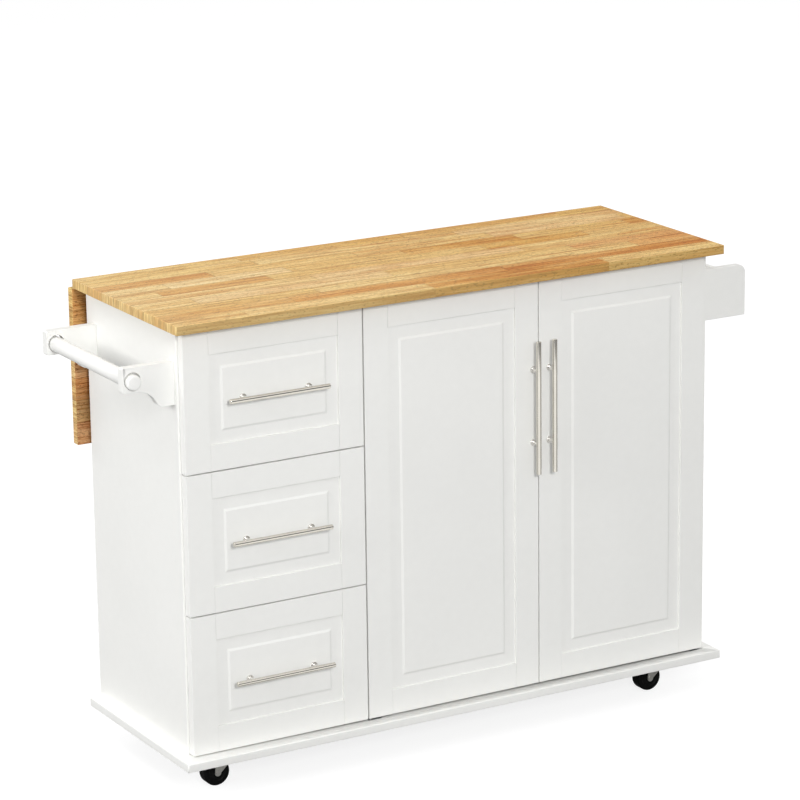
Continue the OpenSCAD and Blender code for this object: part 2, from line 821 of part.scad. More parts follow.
module door_handle(side) color(steel) placed()
    translate([meeting_edge(side) + (side < 0 ? -left_bar_inset : right_bar_inset),
            face_y - door_standoff, fronts_high - door_bar_drop])
        rotate([0, 90, 0]) bar_handle(door_bar_l, door_post_pitch, door_standoff);

module door_pivots(side) color(zinc) placed() {
    at_door_ends(side) {
        translate([0, 0, -pivot_plate_t]) pivot_plate(side, 0);
        translate([0, 0, -pivot_plate_t / 2])
            cylinder(d = pivot_d, h = pivot_plate_t / 2 + edge_gap + socket_t + pin_reach);
    }
    translate([meeting_edge(side) + side * (catch_inset + (catch_l - strike_l) / 2),
            fronts_back, catch_z()])
        mirror([side < 0 ? 1 : 0, 0, 0]) cube([strike_l, strike_t, catch_h]);
}

function catch_z() = top_low - top_rail_t - catch_h;

module door_catches() color(inner_white) placed() for (side = [-1, 1])
    translate([meeting_edge(side) + side * catch_inset, carcass_front, catch_z()])
        mirror([side < 0 ? 1 : 0, 0, 0]) cube([catch_l, catch_d, catch_h]);

module pivot_sockets() color(zinc) placed() for (side = [-1, 1])
    translate([pivot_x(side), face_y + pivot_back, 0]) difference() {
        union() {
            translate([0, 0, top_low]) socket_plate(side, 0);
            translate([0, 0, base_top]) mirror([0, 0, 1]) socket_plate(side, 0);
        }
        cylinder(r = pivot_d / 2 + pivot_clear, h = total_h);
    }

module left_door_frame() door_frame(-1);
module left_door_panel() door_panel(-1);
module left_door_handle() door_handle(-1);
module left_door_pivots() door_pivots(-1);
module right_door_frame() door_frame(1);
module right_door_panel() door_panel(1);
module right_door_handle() door_handle(1);
module right_door_pivots() door_pivots(1);

// ---- towel rail ----

rod_hole_r = rod_d / 2 + rod_play / 2;
rod_z = top_low - towel_drop - rod_drop;
towel_front = carcass_front + towel_setback;
towel_span = body_back - towel_tail - towel_front;

// Outline of a bracket from its upper corner at the side panel. Its lower edge runs from
// the outer flat through a hollow and a round curve, tangent to each other, to the root.
module towel_outline() {
    flat_x = towel_flat - towel_reach;
    fall = towel_h - towel_end_h;
    run = -towel_root - flat_x;
    radii = (run * run + fall * fall) / (2 * fall);
    round_r = radii - towel_hollow_r;
    hollow = [flat_x, -towel_end_h - towel_hollow_r];
    round_at = [-towel_root, round_r - towel_h];
    meet = hollow + (round_at - hollow) * towel_hollow_r / radii;
    translate([-towel_reach, towel_corner - towel_end_h])
        square([towel_reach, towel_end_h - 2 * towel_corner]);
    translate([towel_corner - towel_reach, -towel_end_h])
        square([towel_reach - towel_corner, towel_end_h]);
    for (z = [-towel_corner, towel_corner - towel_end_h])
        translate([towel_corner - towel_reach, z]) circle(towel_corner);
    translate([-towel_root, -towel_h]) square([towel_root, towel_h]);
    difference() {
        polygon([[flat_x, -towel_end_h], [-towel_root, -towel_end_h],
            [-towel_root, -towel_h], meet]);
        translate(hollow) circle(towel_hollow_r);
    }
    translate(round_at) circle(round_r);
}

module towel_brackets() color(white) placed()
    for (y = [towel_front, towel_front + towel_span - towel_t])
        translate([left_out, y, top_low - towel_drop]) difference() {
            along_y(towel_t) towel_outline();
            translate([-rod_reach, -cut, -rod_drop]) rotate([-90, 0, 0])
                cylinder(r = rod_hole_r, h = towel_t + 2 * cut);
        }

// The rod lies on the bottom of its holes
module towel_rod() color(white) placed()
    translate([left_out - rod_reach, towel_front - rod_out,
            rod_z - rod_play / 2 + inlay_play / 2])
        rotate([-90, 0, 0]) eased_rod(rod_d, towel_span + 2 * rod_out, rod_ease);

// ---- spice rack ----

rack_z = top_low - rack_drop - rack_h;
rack_front = carcass_front + rack_setback;
rack_back = body_back - rack_tail;
rack_clear_l = rack_back - rack_front - 2 * rack_end_t;

module rack_ends() color(white) placed()
    for (y = [rack_front, rack_back - rack_end_t])
        translate([right_out, y, rack_z]) along_y(rack_end_t) {
            square([rack_reach, rack_h - rack_corner]);
            square([rack_reach - rack_corner, rack_h]);
            translate([rack_reach - rack_corner, rack_h - rack_corner]) circle(rack_corner);
        }

module rack_shelf() color(white) placed()
    translate([right_out, rack_front + rack_end_t, rack_z + rack_shelf_rise])
        cube([rack_reach - rack_inset, rack_clear_l, rack_shelf_t]);

module rack_rail() color(white) placed()
    translate([right_out + rack_reach - rack_inset - rack_rail_t, rack_front + rack_end_t,
            rack_z + rack_shelf_rise + rack_shelf_t + rack_rail_rise])
        cube([rack_rail_t, rack_clear_l, rack_rail_h]);

// ---- casters, on their swivel axes, trailing towards -X ----

fork_low = caster_h - plate_t - race_h - race_gap - fork_t;
fork_half = wheel_w / 2 + fork_gap;

module at_casters() for (x = caster_xs, y = caster_ys) translate([x, y, 0]) children();

module caster_plate() {
    rivet_h = fork_t;
    translate([-plate_l / 2, -plate_w / 2, caster_h - plate_t])
        cube([plate_l, plate_w, plate_t]);
    translate([0, 0, caster_h - plate_t - race_h]) cylinder(d = race_d, h = race_h + cut);
    translate([0, 0, fork_low - race_gap - rivet_h]) {
        cylinder(d = kingpin_d, h = caster_h - fork_low);
        cylinder(d = 1.5 * kingpin_d, h = rivet_h);
    }
    for (x = [-1, 1], y = [-1, 1])
        translate([x * (plate_l / 2 - screw_d * 0.75), y * (plate_w / 2 - screw_d * 0.75),
                caster_h - plate_t - fork_t])
            cylinder(d = screw_d, h = fork_t + cut);
}

module caster_plates() color(zinc) placed() at_casters() caster_plate();

// Outline of a fork's cheek, from the head down to the axle
module cheek_outline() {
    head_back = -trail - fork_end_r + 2 * fork_t;
    polygon([[-trail - fork_end_r, wheel_z], [-trail + fork_end_r, wheel_z],
        [race_d / 2 - fork_t, fork_low + fork_t], [head_back, fork_low + fork_t]]);
    translate([-trail, wheel_z]) circle(fork_end_r);
}

module caster_fork(x, y) color(zinc) placed() translate([x, y, 0]) {
    axle_l = 2 * (fork_half + fork_t) + 2 * fork_t;
    head_back = -trail - fork_end_r + 2 * fork_t;
    for (flip = [0, 1]) mirror([0, flip, 0])
        translate([0, fork_half, 0]) along_y(fork_t) cheek_outline();
    difference() {
        union() {
            translate([head_back, -fork_half - cut / 2, fork_low])
                cube([race_d / 2 - fork_t - head_back, 2 * fork_half + cut, fork_t]);
            translate([0, 0, fork_low]) cylinder(d = race_d - 2 * fork_t, h = fork_t);
        }
        translate([0, 0, fork_low - cut])
            cylinder(r = kingpin_d / 2 + caster_clear, h = fork_t + 2 * cut);
    }
    translate([-trail, 0, wheel_z]) rotate([90, 0, 0]) {
        cylinder(d = axle_d, h = axle_l - 2 * fork_t, center = true);
        for (z = [-1, 1]) translate([0, 0, z * (axle_l - fork_t) / 2])
            cylinder(d = 1.4 * axle_d, h = fork_t, center = true);
    }
}

// Half section of a wheel: tread with eased corners, a thinner web and a hub
module wheel_section() {
    r = wheel_d / 2;
    rim = r * 0.62;
    hub = axle_d;
    web = wheel_w * 0.32;
    translate([rim, -wheel_w / 2 + tread_r]) square([r - rim, wheel_w - 2 * tread_r]);
    translate([rim, -wheel_w / 2]) square([r - rim - tread_r, wheel_w]);
    for (y = [-1, 1]) translate([r - tread_r, y * (wheel_w / 2 - tread_r)]) circle(tread_r);
    translate([hub / 2, -web]) square([rim - hub / 2 + cut, 2 * web]);
    translate([axle_d / 2 + caster_clear, -wheel_w / 2]) square([hub - axle_d / 2, wheel_w]);
}

module caster_wheel(x, y) color(black) placed() translate([x - trail, y, wheel_z])
    rotate([90, 0, 0]) difference() {
        rotate_extrude() wheel_section();
        cylinder(r = axle_d / 2 + caster_clear, h = wheel_w + cut, center = true);
    }

module front_left_fork() caster_fork(caster_xs[0], caster_ys[0]);
module front_left_wheel() caster_wheel(caster_xs[0], caster_ys[0]);
module front_right_fork() caster_fork(caster_xs[1], caster_ys[0]);
module front_right_wheel() caster_wheel(caster_xs[1], caster_ys[0]);
module back_left_fork() caster_fork(caster_xs[0], caster_ys[1]);
module back_left_wheel() caster_wheel(caster_xs[0], caster_ys[1]);
module back_right_fork() caster_fork(caster_xs[1], caster_ys[1]);
module back_right_wheel() caster_wheel(caster_xs[1], caster_ys[1]);

worktop();
base_board();
left_side_panel();
right_side_panel();
divider_panel();
back_panel();
top_rails();
cupboard_shelf();
shelf_pins();
runner_channels();
pivot_sockets();
door_catches();
leaf_hinge_fixed_leaves();
stay_brackets();
towel_brackets();
towel_rod();
rack_ends();
rack_shelf();
rack_rail();
caster_plates();
drop_leaf();
leaf_hinge_moving_leaves();
stay_stop_plates();
left_stay();
right_stay();
top_drawer_frame();
top_drawer_panel();
top_drawer_box();
top_drawer_bottom();
top_drawer_sliders();
top_drawer_handle();
middle_drawer_frame();
middle_drawer_panel();
middle_drawer_box();
middle_drawer_bottom();
middle_drawer_sliders();
middle_drawer_handle();
bottom_drawer_frame();
bottom_drawer_panel();
bottom_drawer_box();
bottom_drawer_bottom();
bottom_drawer_sliders();
bottom_drawer_handle();
left_door_frame();
left_door_panel();
left_door_handle();
left_door_pivots();
right_door_frame();
right_door_panel();
right_door_handle();
right_door_pivots();
front_left_fork();
front_left_wheel();
front_right_fork();
front_right_wheel();
back_left_fork();
back_left_wheel();
back_right_fork();
back_right_wheel();
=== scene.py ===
"""The looks of the drop leaf kitchen island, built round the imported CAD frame.

Metres, Z up. X runs to the right and Y to the back, as seen from the front.
"""

import json
import math
import random

import bmesh
import bpy
from mathutils import Matrix, Vector


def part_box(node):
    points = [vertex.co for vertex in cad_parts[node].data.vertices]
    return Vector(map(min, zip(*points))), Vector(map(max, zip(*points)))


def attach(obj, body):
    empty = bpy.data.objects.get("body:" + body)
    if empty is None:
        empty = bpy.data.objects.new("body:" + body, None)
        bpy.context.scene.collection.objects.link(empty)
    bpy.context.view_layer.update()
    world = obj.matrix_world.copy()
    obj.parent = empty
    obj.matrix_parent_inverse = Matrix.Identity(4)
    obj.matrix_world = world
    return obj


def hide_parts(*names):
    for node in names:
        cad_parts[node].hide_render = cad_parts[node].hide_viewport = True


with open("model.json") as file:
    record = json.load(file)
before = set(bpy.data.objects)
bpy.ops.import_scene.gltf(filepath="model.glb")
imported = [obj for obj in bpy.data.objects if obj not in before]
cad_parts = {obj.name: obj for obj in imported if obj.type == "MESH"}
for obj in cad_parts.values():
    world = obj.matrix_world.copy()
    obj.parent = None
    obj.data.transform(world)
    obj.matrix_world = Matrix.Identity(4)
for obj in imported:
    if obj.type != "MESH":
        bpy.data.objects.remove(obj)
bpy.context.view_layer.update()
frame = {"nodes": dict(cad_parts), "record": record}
NODES = frame["nodes"]
BODY_OF = {n: b for b, ns in frame["record"]["behaviour"]["bodies"].items() for n in ns}
SLOT_OF = {s["node"]: s["material_slot"] for s in frame["record"]["subparts"]}

MM = 0.001
TOP_LOW, TOP_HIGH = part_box("worktop")
LEAF_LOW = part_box("drop_leaf")[0]


# ---------------------------------------------------------------- node graphs


class Graph:
    """The node tree of a material or a world, with short calls for the nodes used here."""

    def __init__(self, owner, shader="ShaderNodeBsdfPrincipled", out="ShaderNodeOutputMaterial"):
        self.owner = owner
        owner.use_nodes = True
        self.tree = owner.node_tree
        self.tree.nodes.clear()
        surface = self.add(out).inputs["Surface"]
        self.shader = self.add(shader)
        self.link(self.shader.outputs[0], surface)
        self.coords = self.add("ShaderNodeTexCoord").outputs
        self.place = self.coords["Object"]

    def add(self, kind, **props):
        node = self.tree.nodes.new(kind)
        for key, value in props.items():
            setattr(node, key, value)
        return node

    def link(self, source, target):
        self.tree.links.new(source, target)

    def put(self, socket, value):
        """Links another node's output to a socket, or sets the socket to a plain value."""
        if hasattr(value, "links"):
            self.link(value, socket)
        else:
            socket.default_value = value

    def set(self, **values):
        """Sets the shader's sockets, named with _ for each space."""
        for key, value in values.items():
            self.put(self.shader.inputs[key.replace("_", " ")], value)

    def math(self, op, *values):
        node = self.add("ShaderNodeMath", operation=op)
        for socket, value in zip(node.inputs, values):
            self.put(socket, value)
        return node.outputs[0]

    def chain(self, op, values):
        result = values[0]
        for value in values[1:]:
            result = self.math(op, result, value)
        return result

    def plus(self, *values):
        return self.chain("ADD", values)

    def minus(self, a, b):
        return self.math("SUBTRACT", a, b)

    def times(self, *values):
        return self.chain("MULTIPLY", values)

    def most(self, *values):
        return self.chain("MAXIMUM", values)

    def size(self, value):
        return self.math("ABSOLUTE", value)

    def floor(self, value):
        return self.math("FLOOR", value)

    def from_middle(self, value):
        """How far a value is from the middle between two whole numbers."""
        return self.size(self.minus(self.math("FRACT", value), 0.5))

    def split(self, vector):
        node = self.add("ShaderNodeSeparateXYZ")
        self.link(vector, node.inputs[0])
        return node.outputs

    def join(self, x, y, z):
        node = self.add("ShaderNodeCombineXYZ")
        for socket, value in zip(node.inputs, (x, y, z)):
            self.put(socket, value)
        return node.outputs[0]

    def stretch(self, scale):
        """The place on the object, scaled along each axis."""
        node = self.add("ShaderNodeVectorMath", operation="MULTIPLY")
        self.link(self.place, node.inputs[0])
        node.inputs[1].default_value = scale
        return node.outputs[0]

    def noise(self, vector, scale, detail=3.0, rough=0.5, warp=0.0):
        node = self.add("ShaderNodeTexNoise")
        self.link(vector, node.inputs["Vector"])
        node.inputs["Scale"].default_value = scale
        node.inputs["Detail"].default_value = detail
        node.inputs["Roughness"].default_value = rough
        node.inputs["Distortion"].default_value = warp
        return node.outputs[0]

    def chance(self, x, y, z=0.0):
        """A random value from 0 to 1 for each set of whole numbers."""
        node = self.add("ShaderNodeTexWhiteNoise", noise_dimensions="3D")
        self.link(self.join(x, y, z), node.inputs["Vector"])
        return node.outputs["Value"]

    def span(self, value, low, high, to_low, to_high):
        """Maps the range from low to high to another one, and stops at its ends."""
        node = self.add("ShaderNodeMapRange")
        for socket, v in zip(node.inputs, (value, low, high, to_low, to_high)):
            self.put(socket, v)
        return node.outputs[0]

    def ramp(self, value, stops):
        node = self.add("ShaderNodeValToRGB")
        self.link(value, node.inputs[0])
        points = node.color_ramp.elements
        while len(points) < len(stops):
            points.new(0.5)
        for point, (at, color) in zip(points, stops):
            point.position = at
            point.color = color
        return node.outputs[0]

    def mix(self, how, amount, base, over):
        node = self.add("ShaderNodeMix", data_type="RGBA", blend_type=how)
        # of the node's many sockets, 0 is the amount and 6 and 7 are its two colours
        self.put(node.inputs[0], amount)
        self.put(node.inputs[6], base)
        self.put(node.inputs[7], over)
        return node.outputs[2]

    def bump(self, height, strength, distance):
        node = self.add("ShaderNodeBump")
        node.inputs["Strength"].default_value = strength
        node.inputs["Distance"].default_value = distance
        self.link(height, node.inputs["Height"])
        self.link(node.outputs[0], self.shader.inputs["Normal"])


def material(name):
    return Graph(bpy.data.materials.new(name))


def srgb(code):
    """A colour written as in a picture, such as "e8e8e4", as linear values."""
    values = [int(code[i : i + 2], 16) / 255 for i in (0, 2, 4)]
    return [v / 12.92 if v <= 0.04045 else ((v + 0.055) / 1.055) ** 2.4 for v in values] + [1.0]


def shade(color, factor):
    return [v * factor for v in color[:3]] + [1.0]


# ---------------------------------------------------------------- wood

# Tones of the wood's blocks, and where each stands in the blocks' random range
BLOCK_TONES = (
    (0.00, "d79f55"), (0.20, "e6c272"), (0.42, "f4e3ac"),
    (0.62, "ebd08a"), (0.82, "faefc8"), (1.00, "e3aa58"),
)
BLOCK_LENGTHS = (0.21, 0.46)

# Layers of grain: how fast each changes along, across and through a block, and its
# detail, roughness and waviness
GRAIN = {
    "figure": (2.6, 34.0, 70.0, 4.0, 0.6, 1.1),
    "streaks": (4.5, 150.0, 150.0, 3.0, 0.65, 0.5),
    "lines": (7.0, 420.0, 300.0, 3.0, 0.6, 0.3),
    "fibre": (36.0, 1500.0, 700.0, 2.0, 0.6, 0.0),
    "pores": (150.0, 760.0, 420.0, 1.0, 0.5, 0.0),
    "rays": (7.0, 330.0, 120.0, 2.0, 0.6, 0.0),
}
# Colours laid over a block's tone, in this order: how, by which layer, over which range of
# it, how strongly at the range's two ends, and the colour. The tint is one for a block.
STAINS = (
    ("MIX", "figure", 0.34, 0.50, 0.50, 0.0, "f0dca8"),
    ("MULTIPLY", "figure", 0.50, 0.68, 0.0, 0.60, "e6b474"),
    ("MIX", "streaks", 0.36, 0.46, 0.40, 0.0, "f3dcae"),
    ("MULTIPLY", "streaks", 0.52, 0.64, 0.0, 0.60, "c6935a"),
    ("MIX", "tint", 0.74, 1.0, 0.0, 0.45, "dda45a"),
    ("MULTIPLY", "lines", 0.47, 0.64, 0.0, 0.75, "c99c62"),
    ("MULTIPLY", "fibre", 0.42, 0.62, 0.0, 0.36, "c49860"),
    ("MULTIPLY", "pores", 0.60, 0.66, 0.0, 0.75, "7c5c3c"),
)
# A face counts as an end or an edge where it points this far that way
FACING = 0.7
# Offsets that set rows and blocks apart, and keep the count of blocks above nought
ROW_OFFSET, BLOCK_OFFSET, ALONG_OFFSET = 37.0, 53.0, 10.0
GROWTH_LINES = 11.0
# Half of a glue line between strips, from its soft border to its middle, and the half of
# one between blocks
SIDE_GLUE, END_GLUE = (0.0007, 0.0002), 0.0008


def butcher_block(name, across, start, thick, strip, seed, under=None):
    """Strips of hardwood glued side by side along X, each made of blocks end to end.
    across and thick name the board's width and thickness axes, and the strips are
    counted from start on the width axis. A face below under on the thickness axis is
    darkened, a painted shade on the underside."""
    g = material(name)
    axes = dict(zip("xyz", g.split(g.place)))
    x, v, w = axes["x"], axes[across], axes[thick]
    row_at = g.math("DIVIDE", g.minus(v, start), strip)
    row = g.floor(row_at)
    row_random = g.chance(row, float(seed))
    block = g.span(row_random, 0.0, 1.0, *BLOCK_LENGTHS)
    along = g.plus(g.math("DIVIDE", g.plus(x, ALONG_OFFSET), block),
                   g.times(row_random, ROW_OFFSET))
    index = g.floor(along)
    tone = g.chance(row, index, float(seed) + 0.5)
    tint = g.chance(index, row, float(seed) + 3.5)

    facing = g.split(g.coords["Normal"])
    on_end = g.math("GREATER_THAN", g.size(facing[0]), FACING)
    on_edge = g.math("GREATER_THAN", g.size(facing["xyz".index(across)]), FACING)

    # every block has its own grain, which runs far through it on the end faces
    own = g.times(tone, BLOCK_OFFSET)
    depth = g.times(w, g.span(on_end, 0.0, 1.0, 1.0, 0.1))
    layers = {"tint": tint}
    for layer, (by_x, by_v, by_w, detail, rough, warp) in GRAIN.items():
        at = g.join(g.times(x, by_x), g.plus(g.times(v, by_v), own), g.times(depth, by_w))
        layers[layer] = g.noise(at, 1.0, detail, rough, warp)

    color = g.ramp(tone, [(at, srgb(code)) for at, code in BLOCK_TONES])
    for how, layer, low, high, at_low, at_high, code in STAINS:
        color = g.mix(how, g.span(layers[layer], low, high, at_low, at_high), color, srgb(code))

    # end faces show fine upright lines, and edges some curved growth lines
    rays = g.times(on_end, g.span(layers["rays"], 0.48, 0.60, 0.0, 0.80))
    color = g.mix("MULTIPLY", rays, color, srgb("b98a50"))
    growth = g.span(g.from_middle(g.times(layers["figure"], GROWTH_LINES)), 0.30, 0.48, 0.0, 1.0)
    growth = g.times(on_edge, g.span(tone, 0.4, 0.6, 0.0, 0.5), growth)
    color = g.mix("MULTIPLY", growth, color, srgb("a87440"))
    # painted highlight: end and edge faces are painted lighter than the flat faces, where the light
    # falls on them
    painted_face_highlight = g.plus(g.times(on_end, 0.22), g.times(on_edge, 0.42))
    color = g.mix("MIX", painted_face_highlight, color, srgb("f4da92"))
    # painted light and shade: the board is painted browner towards its right end, and the worktop
    # lighter towards its left end, as light falling off from the left
    color = g.mix("MULTIPLY", g.span(x, -0.6, 0.6, 0.2, 1.0), color, srgb("fbefd6"))
    if under is None:
        # painted light: the worktop's left end is lightened
        color = g.mix("MIX", g.span(x, -0.6, 0.2, 0.15, 0.0), color, srgb("ffe8b0"))

    # thin glue lines between strips and between blocks
    side = g.times(g.from_middle(row_at), strip)
    side_line = g.span(side, strip / 2 - SIDE_GLUE[0], strip / 2 - SIDE_GLUE[1], 0.0, 1.0)
    end = g.times(g.from_middle(along), block)
    end_line = g.math("GREATER_THAN", end, g.minus(g.times(block, 0.5), END_GLUE))
    line = g.most(side_line, g.times(end_line, 0.8))
    glue = g.times(line, g.span(tint, 0.0, 1.0, 0.25, 0.65))
    color = g.mix("MULTIPLY", glue, color, srgb("7c4a22"))
    # painted shade: faces below under, the leaf's underside, are darkened
    if under is not None:
        color = g.mix("MULTIPLY", g.math("LESS_THAN", w, under), color, srgb("edd8d0"))
    g.set(Base_Color=color, Roughness=g.span(layers["lines"], 0.3, 0.7, 0.50, 0.62))
    g.set(Specular_IOR_Level=0.25)
    raised = g.plus(g.times(layers["lines"], 0.5), g.times(layers["fibre"], 0.3))
    g.bump(g.minus(raised, g.times(line, 0.7)), 0.20, 0.0003)
    return g.owner


# ---------------------------------------------------------------- paint, metal and plastic


def paint(name, code, rough):
    """Sprayed white paint: a faint mottle, orange peel and uneven sheen."""
    g = material(name)
    base = srgb(code)
    broad = g.noise(g.place, 2.6, rough=0.55)
    fine = g.noise(g.place, 60.0, detail=2.0)
    tone = g.plus(g.times(broad, 0.75), g.times(fine, 0.25))
    g.set(Base_Color=g.ramp(tone, [(0.35, shade(base, 0.965)), (0.62, base)]))
    g.set(Roughness=g.span(g.noise(g.place, 14.0), 0.3, 0.7, rough - 0.05, rough + 0.07))
    g.set(Specular_IOR_Level=0.45)
    g.bump(g.noise(g.place, 700.0, detail=2.0), 0.10, 0.0002)
    return g.owner


def brushed(name, code, rough, axis, strength=0.04):
    """Brushed metal whose fine scratches run round the given axis."""
    g = material(name)
    base = srgb(code)
    scale = {"x": (2400.0, 90.0, 90.0), "z": (90.0, 90.0, 2400.0)}[axis]
    scratches = g.noise(g.stretch(scale), 1.0, rough=0.65)
    cloud = g.noise(g.place, 22.0)
    tone = g.plus(g.times(scratches, 0.5), g.times(cloud, 0.5))
    g.set(Base_Color=g.ramp(tone, [(0.34, shade(base, 0.88)), (0.62, base)]))
    g.set(Metallic=1.0, Roughness=g.span(scratches, 0.3, 0.7, rough - 0.03, rough + 0.05))
    g.bump(scratches, strength, 0.00005)
    return g.owner


def zinc(name, code, rough):
    """Zinc-plated sheet steel: a faint spangle with fine rolling marks."""
    g = material(name)
    base = srgb(code)
    cells = g.add("ShaderNodeTexVoronoi", feature="F1")
    g.link(g.place, cells.inputs["Vector"])
    cells.inputs["Scale"].default_value = 260.0
    spangle = g.split(cells.outputs["Color"])[0]
    marks = g.noise(g.stretch((60.0, 900.0, 60.0)), 1.0, rough=0.6)
    tone = g.plus(g.times(spangle, 0.45), g.times(marks, 0.55))
    g.set(Base_Color=g.ramp(tone, [(0.15, shade(base, 0.78)), (0.80, base)]))
    g.set(Metallic=1.0, Roughness=g.span(tone, 0.2, 0.8, rough + 0.08, rough - 0.04))
    g.bump(marks, 0.08, 0.0001)
    return g.owner


def moulded(name, code, rough, specular):
    """Moulded rubber or plastic: fine grain, dusty variation and uneven sheen."""
    g = material(name)
    base = srgb(code)
    pale = [min(1.0, v * 1.4 + 0.003) for v in base[:3]] + [1.0]
    dust = g.noise(g.place, 45.0, detail=4.0, rough=0.6)
    g.set(Base_Color=g.ramp(dust, [(0.42, base), (0.78, pale)]))
    g.set(Roughness=g.span(g.noise(g.place, 120.0), 0.3, 0.7, rough - 0.06, rough + 0.08))
    g.set(Specular_IOR_Level=specular)
    g.bump(g.noise(g.place, 900.0, detail=2.0), 0.15, 0.0002)
    return g.owner


WHITE = paint("white_paint", "f4f4f1", 0.42)
INNER = paint("inner_white", "efeee9", 0.55)
TOP_WOOD = butcher_block("worktop_blocks", "y", TOP_LOW.y, "z", 0.0442, 7)
LEAF_WOOD = butcher_block("leaf_blocks", "z", LEAF_LOW.z, "y", 0.0443, 5,
                          LEAF_LOW.y + 0.5 * MM)
NICKEL_X = brushed("nickel_x", "dedad0", 0.09, "x")
NICKEL_Z = brushed("nickel_z", "dedad0", 0.09, "z")
SATIN = brushed("polished_nickel", "e2e0dc", 0.27, "x", 0.02)
ZINC = zinc("zinc", "c9cacb", 0.34)
FORK_ZINC = zinc("fork_zinc", "d8d6d0", 0.38)
BLACK = moulded("black_wheel", "070707", 0.5, 0.12)
CATCH = moulded("catch_plastic", "e6e5e0", 0.45, 0.4)
LOOK_OF_SLOT = {
    "white_paint": WHITE, "inner_white": INNER, "zinc": ZINC, "catch_plastic": CATCH,
}
LOOK_OF_NODE = {"worktop": TOP_WOOD, "drop_leaf": LEAF_WOOD, "caster_plates": FORK_ZINC}


# ---------------------------------------------------------------- pieces

# Points this close are one, faces this nearly level are one, and rings this small a point
WELD = 2e-6
FLAT_ANGLE = math.radians(0.6)
POINT_R = 1e-7


def place(bm, name, body, look, replaced=(), bevel=0.0, segments=2, angle=40.0):
    """Makes a piece of a bmesh, eases its edges and lets it ride on its body."""
    mesh = bpy.data.meshes.new(name)
    bm.normal_update()
    bm.to_mesh(mesh)
    bm.free()
    obj = bpy.data.objects.new(name, mesh)
    bpy.context.scene.collection.objects.link(obj)
    mesh.materials.append(look)
    for face in mesh.polygons:
        face.use_smooth = True
    if bevel:
        ease = obj.modifiers.new("ease", "BEVEL")
        ease.width = bevel
        ease.segments = segments
        ease.limit_method = "ANGLE"
        ease.angle_limit = math.radians(angle)
        ease.face_strength_mode = "FSTR_AFFECTED"
        even = obj.modifiers.new("even", "WEIGHTED_NORMAL")
        even.use_face_influence = True
    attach(obj, body)
    if replaced:
        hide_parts(*replaced)


def cad_shape(node):
    """A node's CAD surface with its flat faces whole again."""
    bm = bmesh.new()
    bm.from_mesh(NODES[node].data)
    bmesh.ops.remove_doubles(bm, verts=bm.verts, dist=WELD)
    bmesh.ops.dissolve_limit(bm, angle_limit=FLAT_ANGLE, verts=bm.verts, edges=bm.edges)
    return bm


def soften(node, look, bevel, angle=40.0):
    place(cad_shape(node), node + "_look", BODY_OF[node], look, (node,), bevel,
          angle=angle)


def directions(axis):
    """The axis and two directions across it, all of unit length."""
    axis = Vector(axis).normalized()
    side = axis.orthogonal().normalized()
    return axis, side, axis.cross(side)


def join_rings(bm, low, high):
    """Faces between two rings of points, either of which may be a single point."""
    steps = max(len(low), len(high))
    for i in range(steps):
        j = (i + 1) % steps
        if len(low) == 1:
            bm.faces.new((low[0], high[i], high[j]))
        elif len(high) == 1:
            bm.faces.new((low[i], high[0], low[j]))
        else:
            bm.faces.new((low[i], high[i], high[j], low[j]))


def lathe(bm, profile, at, axis, steps=64):
    """Turns a profile of (distance along the axis, radius) points round an axis."""
    axis, side, other = directions(axis)
    turns = [2 * math.pi * i / steps for i in range(steps)]
    rings = []
    for along, radius in profile:
        centre = at + axis * along
        if radius < POINT_R:
            rings.append([bm.verts.new(centre)])
        else:
            rings.append([bm.verts.new(centre + (side * math.cos(a) + other * math.sin(a)) * radius)
                          for a in turns])
    for low, high in zip(rings, rings[1:]):
        join_rings(bm, low, high)
    return rings


def arc(cx, cy, radius, start, end, steps):
    angles = [math.radians(start + (end - start) * i / steps) for i in range(steps + 1)]
    return [(cx + radius * math.cos(a), cy + radius * math.sin(a)) for a in angles]


def rod(bm, start, end, radius, ease, steps=48):
    """A round rod whose ends are eased."""
    length = (end - start).length
    profile = [(0.0, 0.0)] + arc(ease, radius - ease, ease, 180, 90, 5)
    profile += arc(length - ease, radius - ease, ease, 90, 0, 5) + [(length, 0.0)]
    lathe(bm, profile, start, end - start, steps)


# Boards, frames and metalwork keep their CAD shape, with edges eased by so much
EASED = {
    "base_board": 0.0, "left_side_panel": 0.0008, "right_side_panel": 0.0008,
    "divider_panel": 0.0005, "back_panel": 0.0005, "top_rails": 0.0005,
    "cupboard_shelf": 0.0008, "rack_ends": 0.0012, "rack_shelf": 0.0010, "rack_rail": 0.0020,
    "towel_brackets": 0.0012, "pivot_sockets": 0.0003, "door_catches": 0.0008,
    "leaf_hinge_fixed_leaves": 0.0003, "leaf_hinge_moving_leaves": 0.0003,
    "stay_brackets": 0.0003, "stay_stop_plates": 0.0003, "left_stay": 0.0005,
    "right_stay": 0.0005, "caster_plates": 0.0004, "runner_channels": 0.0002,
    "shelf_pins": 0.0004, "worktop": 0.0, "drop_leaf": 0.0,
}
DRAWER_EASED = {"frame": 0.0005, "panel": 0.0005, "box": 0.0006, "bottom": 0.0003,
                "sliders": 0.0003}
DOOR_EASED = {"frame": 0.0005, "panel": 0.0005, "pivots": 0.0003}
ROWS = ("top", "middle", "bottom")
SIDES = ("left", "right")
for row in ROWS:
    EASED.update({f"{row}_drawer_{part}": ease for part, ease in DRAWER_EASED.items()})
for side in SIDES:
    EASED.update({f"{side}_door_{part}": ease for part, ease in DOOR_EASED.items()})
# A raised panel's slopes are shallow, and their edges are eased too
PANEL_ANGLE, PLAIN_ANGLE = 4.0, 40.0
for node, ease in EASED.items():
    look = LOOK_OF_NODE[node] if node in LOOK_OF_NODE else LOOK_OF_SLOT[SLOT_OF[node]]
    soften(node, look, ease, PANEL_ANGLE if node.endswith("_panel") else PLAIN_ANGLE)


# ---------------------------------------------------------------- towel rod and handles

